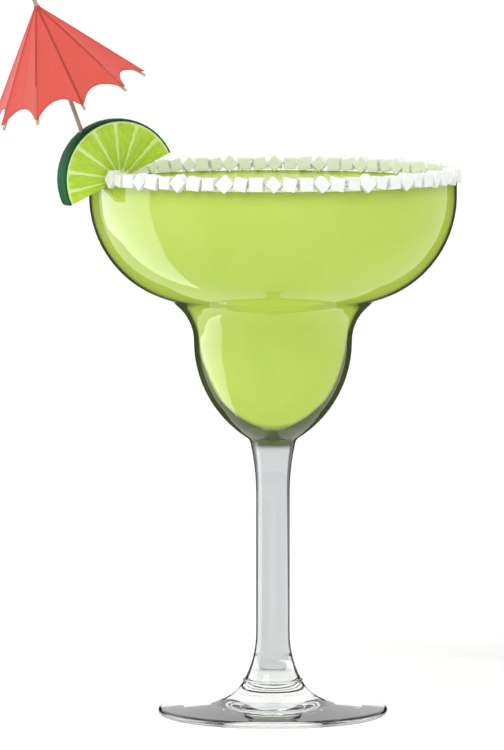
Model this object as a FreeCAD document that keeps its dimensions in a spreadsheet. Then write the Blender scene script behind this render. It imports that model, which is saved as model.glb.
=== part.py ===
"""Margarita cocktail: a stemmed margarita glass filled with a lime drink, with coarse salt on
its rim, half a lime slice notched over the wall and a paper parasol stuck in the slice.

The frame: +Z is up along the glass's axis, the origin is at the centre of the foot's underside,
+X is to the right and -Y is the front. Lengths are in millimetres.
"""

import FreeCAD, Part
import math
import os
import Sketcher
from FreeCAD import Placement, Rotation, Vector

# Each size: its name, its value and what it measures.
SIZES = [
    # the glass
    ("rim_diameter", 112.3, "across the outside of the lip"),
    ("glass_height", 166.0, "underside of the foot to the top of the lip"),
    ("bowl_wall", 1.5, "thickness of the wide upper bowl"),
    ("lip_straight", 6.5, "upright stretch of wall below the lip"),
    ("lip_round", 0.48, "radius of the lip's rounded edges, as a share of the wall"),
    ("bowl_round", 33.3, "radius of the upper bowl's outside, in section"),
    ("waist_round", 13.9, "radius of the waist between bowl and bulb, in section"),
    ("bulb_diameter", 48.4, "across the lower bulb at the waist"),
    ("bulb_wall", 2.8, "thickness of the lower bulb at the waist"),
    ("bulb_bow", 11.1, "how far past the axis the bulb's outside arc is centred"),
    ("hollow_bow", 4.1, "how far past the axis the bulb's inside arc is centred"),
    ("floor_round", 19.1, "radius of the hollow's rounded floor"),
    ("stem_diameter", 10.3, "the plain stem"),
    ("collar_round", 72.0, "radius of the slow flare at the top of the stem"),
    ("collar_drop", 47.0, "waist down to where that flare begins"),
    ("collar_fillet", 2.5, "between that flare and the bulb"),
    ("flare_round", 31.0, "radius of the stem's spread into the foot"),
    ("flare_height", 25.0, "height where the stem begins to spread"),
    ("sweep_round", 13.0, "radius where the spread turns on to the foot"),
    ("foot_diameter", 70.6, "across the foot"),
    ("foot_slope", 5.0, "fall of the foot's top, degrees"),
    ("foot_edge_round", 1.1, "radius of the foot's rounded edge"),
    ("rest_width", 7.0, "width of the flat ring that the foot rests on"),
    ("foot_hollow", 0.9, "depth of the hollow under the foot"),
    ("ridge_height", 10.5, "height of the fine ridge where stem and foot were joined"),
    ("ridge_round", 0.45, "radius of that ridge's section"),
    # the drink
    ("headspace", 2.8, "top of the lip down to the drink"),
    # the salt
    ("crust", 0.35, "thickness of the fine salt that coats the lip"),
    ("crust_depth", 1.7, "how far that coat reaches down each side of the lip"),
    ("crystal", 3.9, "edge of a coarse crystal"),
    ("crystal_pitch", 4.8, "from one crystal to the next along the lip"),
    ("crystal_lift", 0.1, "crystal's middle above the top of the lip"),
    ("salt_gap", 0.8, "from the lime slice to the salt"),
    # the lime slice
    ("lime_radius", 18.0, "of the slice's front face"),
    ("lime_back_radius", 17.5, "of the slice's smaller back face"),
    ("lime_thickness", 8.5, "front face to back face"),
    ("rind_bulge", 0.4, "how far the rind swells between the two faces"),
    ("lime_bearing", 202.0, "where the slice sits on the rim, degrees"),
    ("lime_inset", 4.85, "outside of the lip to the slice's centre"),
    ("lime_drop", 0.1, "top of the lip down to the slice's centre"),
    ("lime_tilt", 25.5, "rise of the slice's straight cut, degrees"),
    ("seat_clearance", 0.2, "between the slice's notch and the wall"),
    # the parasol
    ("stick_diameter", 1.3, "round wooden stick"),
    ("stick_entry", 127.5, "where the stick enters the rind, degrees"),
    ("stick_lean", 20.7, "lean of the stick from upright, degrees"),
    ("parasol_turn", 101.0, "turn of the parasol about its stick, degrees"),
    ("stick_sunk", 12.0, "length of stick inside the slice"),
    ("stick_point", 4.0, "length of its sharpened end"),
    ("stick_above", 3.4, "length of stick above the canopy's apex"),
    ("stick_fit", 0.05, "between the stick and what it passes through"),
    ("apex_distance", 41.0, "from the rind to the canopy's apex"),
    ("canopy_radius", 24.2, "axis to the tip of a rib"),
    ("canopy_height", 29.5, "rib tips to apex"),
    ("paper", 0.3, "thickness of the paper"),
    ("scallop", 3.6, "height of each curved cut between two ribs"),
    ("tip_flat", 0.4, "half width of paper left at each rib's tip"),
    ("hub_wall", 0.95, "stick to the outside of the wooden hub that the ribs start from"),
    ("hub_height", 4.0, "length of the hub"),
    ("hub_drop", 3.3, "apex down to the top of the hub"),
    ("runner_wall", 1.15, "stick to the outside of the rolled card runner that the struts start from"),
    ("runner_height", 6.0, "length of the runner"),
    ("runner_distance", 12.8, "from the rind to the bottom of the runner"),
    ("ring_thickness", 0.8, "of the stop ring under the runner"),
    ("cap_height", 1.0, "of the cap on the canopy's neck"),
    ("cap_wall", 0.25, "stick to the outside of that cap's upper end"),
    ("rib_width", 0.8, "of a rib and of a strut"),
    ("rib_thickness", 0.6, "of a rib and of a strut"),
    ("rib_clearance", 0.3, "between a rib and the fold of the paper over it"),
    ("rib_overhang", 1.3, "how far a rib reaches past the paper's tip"),
    ("strut_reach", 0.5, "where a strut meets its rib, as a share of the rib"),
    ("joint_gap", 0.15, "between a strut's ends and what they meet"),
]

RIBS = 10
LEVEL_TURNS = (45.0, -12.0, 0.0)  # turn of each crystal in turn, degrees
UNEVEN_SIZES = (1.0, 0.94, 1.03, 0.97, 1.05, 0.92, 1.0)  # size of each crystal in turn
UNEVEN_LEANS = (3.0, -6.0, 9.0, -2.0, 5.0)  # lean of each crystal in turn, degrees

doc = FreeCAD.newDocument("margarita")
sheet = doc.addObject("Spreadsheet::Sheet", "Sizes")


def fill_sheet():
    """Write every size into the sheet, with its name as the cell's alias."""
    for row, (name, value, meaning) in enumerate(SIZES, start=1):
        sheet.set(f"A{row}", name)
        sheet.set(f"B{row}", str(value))
        sheet.set(f"C{row}", meaning)
        sheet.setAlias(f"B{row}", name)
    doc.recompute()


def size(name):
    """A size as the sheet holds it."""
    return float(sheet.get(name))


# ---------------------------------------------------------------- sketches

def add_body(label):
    """A new body of the given name."""
    body = doc.addObject("PartDesign::Body", label)
    body.Label = label
    return body


def add_sketch(body, name, role="XZ_Plane"):
    """A new sketch on one of the body's own origin planes."""
    sketch = body.newObject("Sketcher::SketchObject", name)
    plane = next(f for f in body.Origin.OriginFeatures if f.Role == role)
    sketch.AttachmentSupport = [(plane, "")]
    sketch.MapMode = "FlatFace"
    return sketch


def add_arc(sketch, centre, radius, start, end):
    """An arc drawn counter-clockwise between two angles in degrees. Returns its number."""
    circle = Part.Circle(Vector(*centre, 0), Vector(0, 0, 1), radius)
    arc = Part.ArcOfCircle(circle, math.radians(start), math.radians(end))
    return sketch.addGeometry(arc, False)


def add_line(sketch, start, end):
    """A straight line. Returns its number."""
    return sketch.addGeometry(Part.LineSegment(Vector(*start, 0), Vector(*end, 0)), False)


def rule(sketch, kind, *where):
    """A geometric constraint, such as a tangency."""
    sketch.addConstraint(Sketcher.Constraint(kind, *where))


def bind(sketch, kind, *where, to):
    """A dimension that takes its value from an expression on the sheet."""
    value = float(sketch.evalExpression(to))
    if kind == "Angle":
        value = math.radians(value)
    number = sketch.addConstraint(Sketcher.Constraint(kind, *where, value))
    sketch.setExpression(f"Constraints[{number}]", to)


START, END, CENTRE = 1, 2, 3  # the points of a line or an arc
H_AXIS, V_AXIS, ORIGIN = -1, -2, -1  # the sketch's own axes and origin point


def revolve(body, sketch, name, kind="PartDesign::Revolution", angle=360.0):
    """Turn a sketch about its vertical axis, to add material or to cut it."""
    feature = body.newObject(kind, name)
    feature.Profile = sketch
    feature.ReferenceAxis = (sketch, ["V_Axis"])
    feature.Angle = angle
    return feature


# ---------------------------------------------------------------- the glass and the drink

def waist_height(bulb_radius, waist_round, bowl_round):
    """Height of the waist, where the bulb's arc and the waist's arc meet upright."""
    across = bulb_radius + waist_round - (size("rim_diameter") / 2 - size("bowl_round"))
    shoulder = size("glass_height") - size("lip_straight")
    return shoulder - math.sqrt((bowl_round + waist_round) ** 2 - across**2)


def waist_turn(bulb_radius, waist_round, bowl_round):
    """Angle, in degrees, through which the waist's arc turns into the bowl's arc."""
    across = bulb_radius + waist_round - (size("rim_diameter") / 2 - size("bowl_round"))
    return math.degrees(math.acos(across / (bowl_round + waist_round)))


def circles_meet(first, first_radius, second, second_radius):
    """The meeting point of two circles that lies to the right of the way from one to the other."""
    gap = math.dist(first, second)
    along = (gap**2 + first_radius**2 - second_radius**2) / (2 * gap)
    aside = math.sqrt(first_radius**2 - along**2)
    way = ((second[0] - first[0]) / gap, (second[1] - first[1]) / gap)
    return (
        first[0] + along * way[0] + aside * way[1],
        first[1] + along * way[1] - aside * way[0],
    )


def bearing(centre, point):
    """Direction from one point to another, in degrees from 0 to 360."""
    angle = math.atan2(point[1] - centre[1], point[0] - centre[0])
    return math.degrees(angle) % 360


def draw_hollow(sketch, top):
    """The space inside the glass, from its rounded floor up to a level given as an expression."""
    bulb = size("bulb_diameter") / 2 - size("bulb_wall")
    bowl = size("bowl_round") - size("bowl_wall")
    waist = size("waist_round") + (size("bowl_wall") + size("bulb_wall")) / 2
    lip = size("rim_diameter") / 2 - size("bowl_wall")
    shoulder = size("glass_height") - size("lip_straight")
    height = waist_height(bulb, waist, bowl)
    turn = waist_turn(bulb, waist, bowl)
    bow = size("hollow_bow")
    floor_round = size("floor_round")
    floor_drop = math.sqrt(max((bulb + bow - floor_round) ** 2 - bow**2, 1.0))
    floor_turn = math.degrees(math.atan2(floor_drop, bow))
    floor = height - floor_drop - floor_round

    bottom = add_arc(sketch, (0, floor + floor_round), floor_round, -90, -floor_turn)
    side = add_arc(sketch, (-bow, height), bulb + bow, -floor_turn, 0)
    neck = add_arc(sketch, (bulb + waist, height), waist, 180 - turn, 180)
    cup = add_arc(sketch, (lip - bowl, shoulder), bowl, -turn, 0)
    wall = add_line(sketch, (lip, shoulder), (lip, size("glass_height")))
    lid = add_line(sketch, (lip, size("glass_height")), (0, size("glass_height")))
    axis = add_line(sketch, (0, size("glass_height")), (0, floor))

    rule(sketch, "Tangent", bottom, END, side, START)
    rule(sketch, "Tangent", side, END, neck, END)
    rule(sketch, "Tangent", neck, START, cup, START)
    rule(sketch, "Tangent", cup, END, wall, START)
    rule(sketch, "Coincident", wall, END, lid, START)
    rule(sketch, "Coincident", lid, END, axis, START)
    rule(sketch, "Coincident", axis, END, bottom, START)
    rule(sketch, "Vertical", wall)
    rule(sketch, "Horizontal", lid)
    rule(sketch, "PointOnObject", axis, START, V_AXIS)
    rule(sketch, "PointOnObject", axis, END, V_AXIS)
    rule(sketch, "PointOnObject", bottom, CENTRE, V_AXIS)
    rule(sketch, "Horizontal", side, END, side, CENTRE)
    bulb_inside = "(Sizes.bulb_diameter / 2 - Sizes.bulb_wall)"
    bind(sketch, "Radius", bottom, to="Sizes.floor_round")
    bind(sketch, "Radius", side, to=f"{bulb_inside} + Sizes.hollow_bow")
    bind(sketch, "DistanceX", side, CENTRE, ORIGIN, 1, to="Sizes.hollow_bow")
    bind(sketch, "Radius", neck, to="Sizes.waist_round + (Sizes.bowl_wall + Sizes.bulb_wall) / 2")
    bind(sketch, "Radius", cup, to="Sizes.bowl_round - Sizes.bowl_wall")
    bind(sketch, "DistanceY", ORIGIN, 1, cup, CENTRE, to="Sizes.glass_height - Sizes.lip_straight")
    bind(sketch, "DistanceX", ORIGIN, 1, wall, END, to="Sizes.rim_diameter / 2 - Sizes.bowl_wall")
    bind(sketch, "DistanceY", ORIGIN, 1, wall, END, to=top)


def draw_outline(sketch):
    """The outside of the glass, as a solid blank: foot, stem, bulb, waist and bowl."""
    height = size("glass_height")
    rim = size("rim_diameter") / 2
    foot = size("foot_diameter") / 2
    edge = size("foot_edge_round")
    stem = size("stem_diameter") / 2
    slope = size("foot_slope")
    shoulder = height - size("lip_straight")
    bowl = size("bowl_round")
    bulb = size("bulb_diameter") / 2
    waist = size("waist_round")
    waist_z = waist_height(bulb, waist, bowl)
    turn = waist_turn(bulb, waist, bowl)

    rest = foot - edge - size("rest_width")
    hollow = size("foot_hollow")
    hollow_round = (rest**2 + hollow**2) / (2 * hollow)
    hollow_turn = math.degrees(math.acos(rest / hollow_round))

    flare = size("flare_round")
    sweep = size("sweep_round")
    flare_centre = (stem + flare, size("flare_height"))
    rise = math.tan(math.radians(slope))
    sweep_z = edge + edge + sweep / math.cos(math.radians(slope)) + rise * (foot / 2)
    sweep_dz = sweep_z - flare_centre[1]
    sweep_centre = (flare_centre[0] - math.sqrt((flare - sweep) ** 2 - sweep_dz**2), sweep_z)
    flare_turn = bearing(flare_centre, sweep_centre)

    collar = size("collar_round")
    fillet = size("collar_fillet")
    side = bulb + size("bulb_bow")
    side_centre = (-size("bulb_bow"), waist_z)
    collar_centre = (stem + collar, waist_z - size("collar_drop"))
    fillet_centre = circles_meet(side_centre, side + fillet, collar_centre, collar - fillet)
    collar_end = bearing(collar_centre, fillet_centre)
    side_start = bearing(side_centre, fillet_centre) - 360
    fillet_start = side_start + 180

    under = add_arc(sketch, (0, hollow - hollow_round), hollow_round, hollow_turn, 90)
    ring = add_line(sketch, (rest, 0), (foot - edge, 0))
    rounded = add_arc(sketch, (foot - edge, edge), edge, -90, 90 - slope)
    top = add_line(sketch, (foot - edge, 2 * edge), (sweep_centre[0], sweep_z - sweep))
    turn_up = add_arc(sketch, sweep_centre, sweep, flare_turn, 270 - slope)
    spread = add_arc(sketch, flare_centre, flare, 180, flare_turn)
    rod = add_line(sketch, (stem, flare_centre[1]), (stem, collar_centre[1]))
    widen = add_arc(sketch, collar_centre, collar, collar_end, 180)
    corner = add_arc(sketch, fillet_centre, fillet, fillet_start, collar_end)
    belly = add_arc(sketch, side_centre, side, side_start, 0)
    neck = add_arc(sketch, (bulb + waist, waist_z), waist, 180 - turn, 180)
    cup = add_arc(sketch, (rim - bowl, shoulder), bowl, -turn, 0)
    lip = add_line(sketch, (rim, shoulder), (rim, height))
    lid = add_line(sketch, (rim, height), (0, height))
    axis = add_line(sketch, (0, height), (0, hollow))

    rule(sketch, "Coincident", under, START, ring, START)
    rule(sketch, "Tangent", ring, END, rounded, START)
    rule(sketch, "Tangent", rounded, END, top, START)
    rule(sketch, "Tangent", top, END, turn_up, END)
    rule(sketch, "Tangent", turn_up, START, spread, END)
    rule(sketch, "Tangent", spread, START, rod, START)
    rule(sketch, "Tangent", rod, END, widen, END)
    rule(sketch, "Tangent", widen, START, corner, END)
    rule(sketch, "Tangent", corner, START, belly, START)
    rule(sketch, "Tangent", belly, END, neck, END)
    rule(sketch, "Tangent", neck, START, cup, START)
    rule(sketch, "Tangent", cup, END, lip, START)
    rule(sketch, "Coincident", lip, END, lid, START)
    rule(sketch, "Coincident", lid, END, axis, START)
    rule(sketch, "Coincident", axis, END, under, END)
    rule(sketch, "PointOnObject", under, START, H_AXIS)
    rule(sketch, "PointOnObject", under, CENTRE, V_AXIS)
    rule(sketch, "PointOnObject", axis, START, V_AXIS)
    rule(sketch, "PointOnObject", axis, END, V_AXIS)
    rule(sketch, "Horizontal", ring)
    rule(sketch, "Horizontal", lid)
    rule(sketch, "Vertical", rod)
    rule(sketch, "Vertical", lip)
    rule(sketch, "Horizontal", belly, END, belly, CENTRE)
    foot_edge = "Sizes.foot_diameter / 2 - Sizes.foot_edge_round"
    bind(sketch, "DistanceY", ORIGIN, 1, axis, END, to="Sizes.foot_hollow")
    bind(sketch, "DistanceX", ORIGIN, 1, ring, START, to=f"{foot_edge} - Sizes.rest_width")
    bind(sketch, "DistanceX", ORIGIN, 1, rounded, CENTRE, to=foot_edge)
    bind(sketch, "Radius", rounded, to="Sizes.foot_edge_round")
    bind(sketch, "Angle", top, to="180 - Sizes.foot_slope")
    bind(sketch, "Radius", turn_up, to="Sizes.sweep_round")
    bind(sketch, "Radius", spread, to="Sizes.flare_round")
    bind(sketch, "DistanceY", ORIGIN, 1, spread, CENTRE, to="Sizes.flare_height")
    bind(sketch, "DistanceX", ORIGIN, 1, rod, END, to="Sizes.stem_diameter / 2")
    bind(sketch, "DistanceY", widen, CENTRE, belly, CENTRE, to="Sizes.collar_drop")
    bind(sketch, "Radius", widen, to="Sizes.collar_round")
    bind(sketch, "Radius", corner, to="Sizes.collar_fillet")
    bind(sketch, "Radius", belly, to="Sizes.bulb_diameter / 2 + Sizes.bulb_bow")
    bind(sketch, "DistanceX", belly, CENTRE, ORIGIN, 1, to="Sizes.bulb_bow")
    bind(sketch, "Radius", neck, to="Sizes.waist_round")
    bind(sketch, "Radius", cup, to="Sizes.bowl_round")
    bind(sketch, "DistanceY", ORIGIN, 1, cup, CENTRE, to="Sizes.glass_height - Sizes.lip_straight")
    bind(sketch, "DistanceX", ORIGIN, 1, lip, END, to="Sizes.rim_diameter / 2")
    bind(sketch, "DistanceY", ORIGIN, 1, lip, END, to="Sizes.glass_height")


def make_glass():
    """The whole glass in one piece: a turned blank, a fine ridge, a hollow and a rounded lip."""
    body = add_body("glass")
    outline = add_sketch(body, "glass_outline")
    draw_outline(outline)
    revolve(body, outline, "glass_blank")

    ridge = add_sketch(body, "ridge_section")
    circle = ridge.addGeometry(Part.Circle(Vector(9, 10, 0), Vector(0, 0, 1), 1), False)
    on_flare = (
        "Sizes.stem_diameter / 2 + Sizes.flare_round"
        " - sqrt(Sizes.flare_round ^ 2 - (Sizes.flare_height - Sizes.ridge_height) ^ 2)"
    )
    bind(ridge, "DistanceX", ORIGIN, 1, circle, CENTRE, to=on_flare)
    bind(ridge, "DistanceY", ORIGIN, 1, circle, CENTRE, to="Sizes.ridge_height")
    bind(ridge, "Radius", circle, to="Sizes.ridge_round")
    revolve(body, ridge, "joint_ridge")

    hollow = add_sketch(body, "glass_hollow")
    draw_hollow(hollow, "Sizes.glass_height")
    bowl = revolve(body, hollow, "bowl", "PartDesign::Groove")
    doc.recompute()

    height = size("glass_height")
    lip_edges = [
        f"Edge{number}"
        for number, edge in enumerate(bowl.Shape.Edges, start=1)
        if abs(edge.BoundBox.ZMin - height) < 0.001 and edge.BoundBox.ZLength < 0.001
    ]
    rounding = body.newObject("PartDesign::Fillet", "rounded_lip")
    rounding.Base = (bowl, lip_edges)
    rounding.setExpression("Radius", "Sizes.bowl_wall * Sizes.lip_round")
    return body


def make_drink(lime_slice):
    """The drink fills the hollow up to its level and is cut round the slice if it reaches it."""
    body = add_body("drink_fill")
    profile = add_sketch(body, "drink_profile")
    draw_hollow(profile, "Sizes.glass_height - Sizes.headspace")
    revolve(body, profile, "drink_turned")
    return cut("drink", body, lime_slice)


# ---------------------------------------------------------------- shared solids

def cut(label, base, tool):
    """One piece less another."""
    result = doc.addObject("Part::Cut", label)
    result.Label = label
    result.Base = base
    result.Tool = tool
    return result


def add_cylinder(name, radius, height, place):
    """A cylinder whose radius and height are expressions on the sheet."""
    cylinder = doc.addObject("Part::Cylinder", name)
    cylinder.setExpression("Radius", radius)
    cylinder.setExpression("Height", height)
    cylinder.Placement = place
    return cylinder


# ---------------------------------------------------------------- the lime slice

def lime_place():
    """Where the slice is: local Z is out of its front face, local X along its straight cut."""
    out = math.radians(size("lime_bearing"))
    inward = Vector(-math.cos(out), -math.sin(out), 0)
    front = inward.cross(Vector(0, 0, 1))
    reach = size("rim_diameter") / 2 - size("lime_inset")
    centre = inward * -reach + Vector(0, 0, size("glass_height") - size("lime_drop"))
    flat = Rotation(inward, Vector(0, 0, 1), front, "XYZ")
    return Placement(centre, flat * Rotation(Vector(0, 0, 1), size("lime_tilt")))


def make_lime_blank():
    """Half a lime slice, domed from its larger front face to its smaller back face."""
    body = add_body("lime_blank")
    sketch = add_sketch(body, "lime_section")
    half = size("lime_thickness") / 2
    front, back, bulge = size("lime_radius"), size("lime_back_radius"), size("rind_bulge")
    chord = math.dist((front, half), (back, -half))
    rind_round = (chord**2 / 4 + bulge**2) / (2 * bulge)
    lean = math.degrees(math.atan2(front - back, 2 * half))
    span = math.degrees(math.asin(chord / 2 / rind_round))
    depth = math.sqrt(rind_round**2 - chord**2 / 4)
    middle = ((front + back) / 2, 0)
    centre = (
        middle[0] - depth * math.cos(math.radians(lean)),
        middle[1] + depth * math.sin(math.radians(lean)),
    )
    rind = add_arc(sketch, centre, rind_round, -lean - span, -lean + span)
    face = add_line(sketch, (front, half), (0, half))
    core = add_line(sketch, (0, half), (0, -half))
    rear = add_line(sketch, (0, -half), (back, -half))
    rule(sketch, "Coincident", rind, END, face, START)
    rule(sketch, "Coincident", face, END, core, START)
    rule(sketch, "Coincident", core, END, rear, START)
    rule(sketch, "Coincident", rear, END, rind, START)
    rule(sketch, "Horizontal", face)
    rule(sketch, "Horizontal", rear)
    rule(sketch, "PointOnObject", core, START, V_AXIS)
    rule(sketch, "PointOnObject", core, END, V_AXIS)
    bind(sketch, "DistanceX", ORIGIN, 1, rind, END, to="Sizes.lime_radius")
    bind(sketch, "DistanceX", ORIGIN, 1, rind, START, to="Sizes.lime_back_radius")
    bind(sketch, "DistanceY", ORIGIN, 1, rind, END, to="Sizes.lime_thickness / 2")
    bind(sketch, "DistanceY", rind, START, ORIGIN, 1, to="Sizes.lime_thickness / 2")
    chord_squared = "((Sizes.lime_radius - Sizes.lime_back_radius) ^ 2 + Sizes.lime_thickness ^ 2)"
    rind_radius = f"({chord_squared} / 4 + Sizes.rind_bulge ^ 2) / (2 * Sizes.rind_bulge)"
    bind(sketch, "Radius", rind, to=rind_radius)
    half_turn = revolve(body, sketch, "lime_half", angle=180.0)
    doc.recompute()
    if body.Shape.BoundBox.YMax < size("lime_back_radius") / 2:
        half_turn.Reversed = True
    body.Placement = lime_place()
    return body


def make_lime_slice():
    """The slice with a notch that rides on the wall and a hole that the stick is pushed into."""
    depth = 2 * size("lime_radius")
    below = Placement(Vector(0, 0, size("glass_height") - depth), Rotation())
    reach = "2 * Sizes.lime_radius + Sizes.seat_clearance"
    outside = add_cylinder("notch_outside", "Sizes.rim_diameter / 2 + Sizes.seat_clearance", reach, below)
    inside_radius = "Sizes.rim_diameter / 2 - Sizes.bowl_wall - Sizes.seat_clearance"
    inside = add_cylinder("notch_inside", inside_radius, reach, below)
    notch = cut("wall_notch", outside, inside)
    notched = cut("notched_lime", make_lime_blank(), notch)

    down = stick_place() * Placement(Vector(0, 0, 0), Rotation(Vector(1, 0, 0), 180))
    start = Placement(Vector(0, 0, -size("stick_sunk")), Rotation())
    hole = add_cylinder(
        "stick_hole",
        STICK_HOLE,
        "2 * Sizes.stick_sunk + Sizes.stick_fit",
        down * start,
    )
    return cut("lime_slice", notched, hole)


# ---------------------------------------------------------------- the salt

def make_salt(glass, drink):
    """Coarse crystals in a row over a thin coat of fine salt, clear of the lime slice."""
    height = size("glass_height")
    rim = size("rim_diameter") / 2
    wall = size("bowl_wall")
    crust = size("crust")
    middle = rim - wall / 2
    half_gap = math.degrees((size("lime_thickness") / 2 + size("salt_gap")) / middle)
    run = 360 - 2 * half_gap
    first = size("lime_bearing") + half_gap

    low = Vector(0, 0, height - size("crust_depth"))
    tall = size("crust_depth") + crust
    up = Vector(0, 0, 1)
    coat = Part.makeCylinder(rim + crust, tall, low, up, run)
    coat = coat.cut(Part.makeCylinder(rim - wall - crust, tall, low, up, 360))
    coat.rotate(Vector(0, 0, 0), up, first)

    half_crystal = math.degrees(size("crystal") * math.sqrt(0.5) / middle)
    room = run - 2 * half_crystal
    steps = round(math.radians(room) * middle / size("crystal_pitch"))
    crystals = []
    for number in range(steps + 1):
        edge = size("crystal") * UNEVEN_SIZES[number % len(UNEVEN_SIZES)]
        crystal = Part.makeBox(edge, edge, edge, Vector(-edge / 2, -edge / 2, -edge / 2))
        turn = Rotation(Vector(1, 0, 0), LEVEL_TURNS[number % len(LEVEL_TURNS)])
        lean = Rotation(Vector(0, 0, 1), UNEVEN_LEANS[number % len(UNEVEN_LEANS)])
        round_rim = Rotation(up, first + half_crystal + room * number / steps)
        place = round_rim.multVec(Vector(middle, 0, height + size("crystal_lift")))
        crystal.Placement = Placement(place, round_rim * lean * turn)
        crystals.append(crystal)

    salt = doc.addObject("Part::Feature", "salt_rim")
    salt.Label = "salt_rim"
    salt.Shape = coat.fuse(crystals).cut(glass.Shape).cut(drink.Shape)
    return salt


# ---------------------------------------------------------------- the parasol

# Expressions for what is wrapped round the stick or folded over the ribs.
HALF_SIDE = 180 / RIBS
APOTHEM = f"(Sizes.canopy_radius * cos({HALF_SIDE}))"
INSET = f"(Sizes.paper * sqrt(1 + ({APOTHEM} / Sizes.canopy_height) ^ 2) / cos({HALF_SIDE}))"
STICK_HOLE = "(Sizes.stick_diameter / 2 + Sizes.stick_fit)"
NECK_RADIUS = f"({STICK_HOLE} / cos({HALF_SIDE}) + {INSET})"
NECK_DROP = f"({NECK_RADIUS} * Sizes.canopy_height / Sizes.canopy_radius)"
HUB_RADIUS = "(Sizes.stick_diameter / 2 + Sizes.hub_wall)"
RUNNER_RADIUS = "(Sizes.stick_diameter / 2 + Sizes.runner_wall)"


def worth(expression):
    """The number that an expression on the sheet comes to."""
    return float(sheet.evalExpression(expression))


def stick_place():
    """The parasol's own frame: its origin is where the stick enters the rind, +Z to the apex."""
    out = math.radians(size("lime_bearing"))
    inward = Vector(-math.cos(out), -math.sin(out), 0)
    centre = lime_place().Base
    entry = math.radians(size("stick_entry"))
    rind = (size("lime_radius") + size("lime_back_radius")) / 2 + size("rind_bulge")
    start = centre + inward * (rind * math.cos(entry)) + Vector(0, 0, rind * math.sin(entry))
    up = Vector(0, 0, 1)
    sideways = inward.cross(up)
    lean = Rotation(sideways, size("stick_lean"))
    facing = Rotation(inward, sideways * -1, up, "XYZ")
    return Placement(start, lean * facing * Rotation(up, -size("parasol_turn")))


def place_parasol(piece):
    """Put a piece that was made about the stick's own axis where the stick is."""
    piece.Placement = stick_place() * piece.Placement
    return piece


def make_stick():
    """A round stick, sharpened at its lower end and rounded off at its upper end."""
    body = add_body("parasol_stick")
    sketch = add_sketch(body, "stick_section")
    radius = size("stick_diameter") / 2
    sunk, point = size("stick_sunk"), size("stick_point")
    top = size("apex_distance") + size("stick_above")
    cone = add_line(sketch, (0, -sunk), (radius, point - sunk))
    side = add_line(sketch, (radius, point - sunk), (radius, top - radius))
    dome = add_arc(sketch, (0, top - radius), radius, 0, 90)
    axis = add_line(sketch, (0, top), (0, -sunk))
    rule(sketch, "Coincident", cone, END, side, START)
    rule(sketch, "Tangent", side, END, dome, START)
    rule(sketch, "Coincident", dome, END, axis, START)
    rule(sketch, "Coincident", axis, END, cone, START)
    rule(sketch, "Vertical", side)
    rule(sketch, "PointOnObject", axis, START, V_AXIS)
    rule(sketch, "PointOnObject", axis, END, V_AXIS)
    rule(sketch, "PointOnObject", dome, CENTRE, V_AXIS)
    bind(sketch, "DistanceY", cone, START, ORIGIN, 1, to="Sizes.stick_sunk")
    bind(sketch, "DistanceY", cone, START, cone, END, to="Sizes.stick_point")
    bind(sketch, "Radius", dome, to="Sizes.stick_diameter / 2")
    bind(sketch, "DistanceY", ORIGIN, 1, axis, START, to="Sizes.apex_distance + Sizes.stick_above")
    revolve(body, sketch, "stick_turned")
    return place_parasol(body)


def draw_ring_of_sides(body, name, radius, level):
    """A regular outline with a corner over each rib, at a level up the stick's axis."""
    sketch = add_sketch(body, name, "XY_Plane")
    sketch.setExpression("AttachmentOffset.Base.z", level)
    corners = [
        (math.cos(2 * math.pi * (n + 0.5) / RIBS), math.sin(2 * math.pi * (n + 0.5) / RIBS))
        for n in range(RIBS)
    ]
    sides = [add_line(sketch, corners[n], corners[(n + 1) % RIBS]) for n in range(RIBS)]
    ring = sketch.addGeometry(Part.Circle(Vector(0, 0, 0), Vector(0, 0, 1), 1), True)
    rule(sketch, "Coincident", ring, CENTRE, ORIGIN, 1)
    for n in range(RIBS):
        rule(sketch, "Coincident", sides[n], END, sides[(n + 1) % RIBS], START)
        rule(sketch, "PointOnObject", sides[n], START, ring)
    for n in range(RIBS - 1):
        rule(sketch, "Equal", sides[n], sides[n + 1])
    rule(sketch, "Vertical", sides[RIBS - 1])
    bind(sketch, "Radius", ring, to=radius)
    return sketch


def loft(body, name, kind, sections):
    """A straight-sided solid, added or cut, through two sections."""
    feature = body.newObject(kind, name)
    feature.Profile = sections[0]
    feature.Sections = sections[1:]
    feature.Ruled = True
    return feature


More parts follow.
